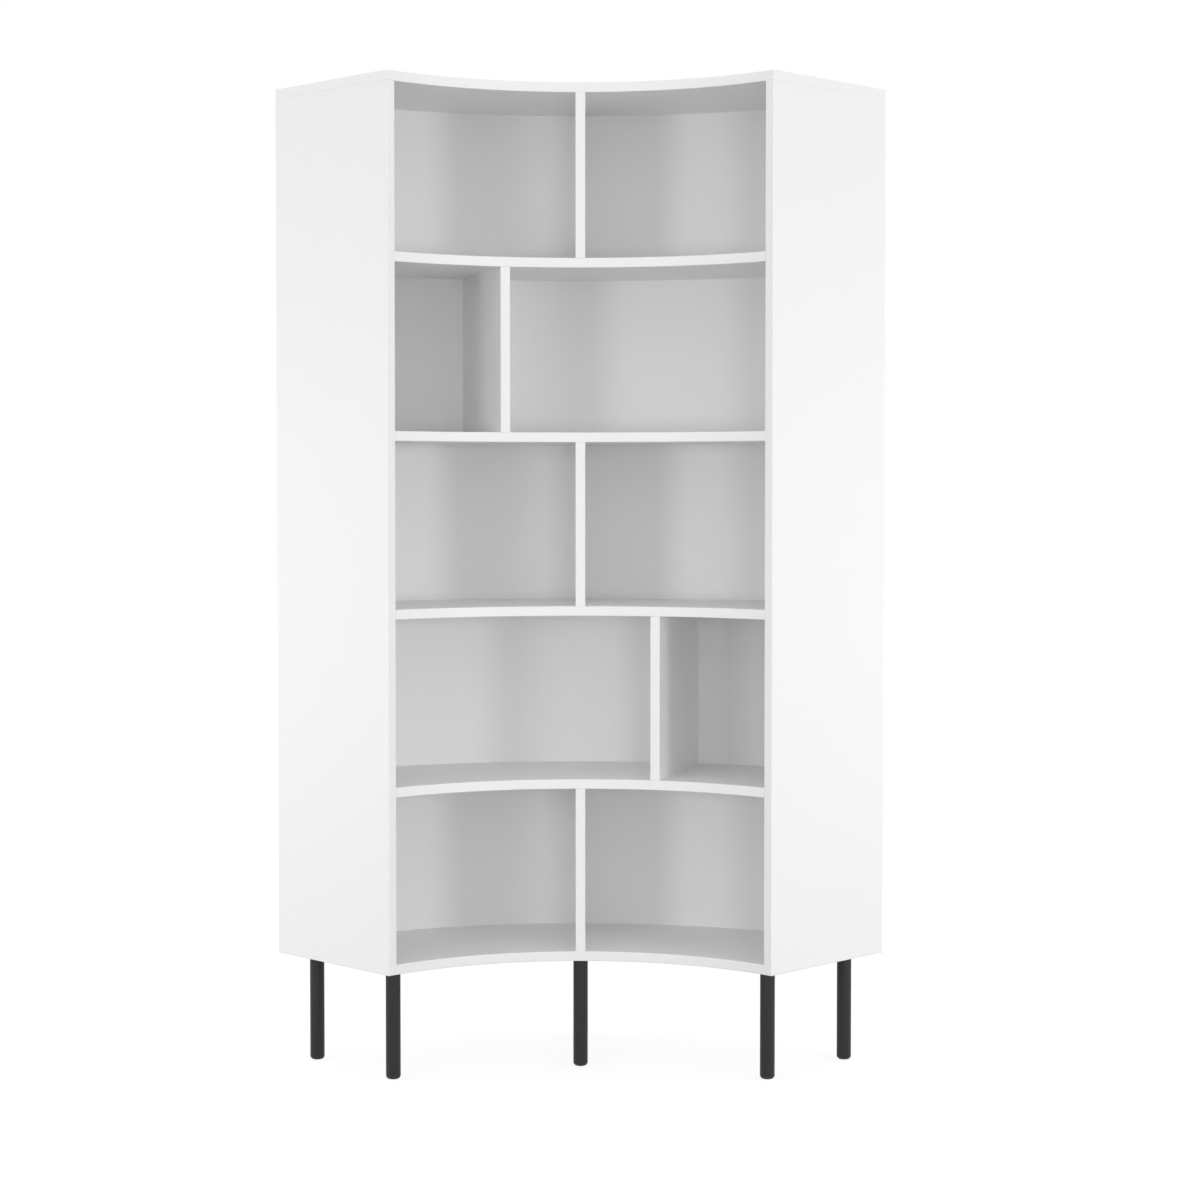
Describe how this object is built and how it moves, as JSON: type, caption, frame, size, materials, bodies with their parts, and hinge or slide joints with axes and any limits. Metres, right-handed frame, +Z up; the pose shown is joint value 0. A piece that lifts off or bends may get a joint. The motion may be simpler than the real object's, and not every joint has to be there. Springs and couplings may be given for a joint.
{
  "type": "corner shelf unit",
  "caption": "Tall white corner bookcase: quarter-ring plan with a hollow curved front, open tiers split by staggered upright dividers, a bent back and round black legs.",
  "frame": {"origin": "on the floor, midway between the two ends and midway between the front corners and the middle of the back", "axes": "+X to the right as seen from the front, +Y to the back, towards the corner of the room, +Z up"},
  "size_m": [1.1314, 0.4585, 1.808],
  "materials": {
    "white_lacquer": "satin white lacquer on 18 mm MDF",
    "white_hardboard": "satin white lacquer on 3 mm hardboard",
    "black_powder_coat": "fine-textured matt black powder coat on steel tube",
    "black_plastic": "moulded matt black polyethylene",
    "zinc_steel": "bright zinc plate",
    "plywood": "unfinished birch plywood"
  },
  "bodies": {
    "root": {"top_panel": "white_lacquer", "bottom_panel": "white_lacquer", "left_side_panel": "white_lacquer", "right_side_panel": "white_lacquer", "shelf_1": "white_lacquer", "shelf_2": "white_lacquer", "shelf_3": "white_lacquer", "shelf_4": "white_lacquer", "divider_1": "white_lacquer", "divider_2": "white_lacquer", "divider_3": "white_lacquer", "divider_4": "white_lacquer", "divider_5": "white_lacquer", "back_sheet_1": "white_hardboard", "back_sheet_2": "white_hardboard", "back_sheet_3": "white_hardboard", "back_sheet_4": "white_hardboard", "back_sheet_5": "white_hardboard", "front_left_leg": "black_powder_coat", "front_middle_leg": "black_powder_coat", "front_right_leg": "black_powder_coat", "rear_left_leg": "black_powder_coat", "rear_middle_leg": "black_powder_coat", "rear_right_leg": "black_powder_coat", "foot_caps": "black_plastic", "insert_nuts": "zinc_steel", "loose_tongues": "plywood"}
  },
  "joints": []
}
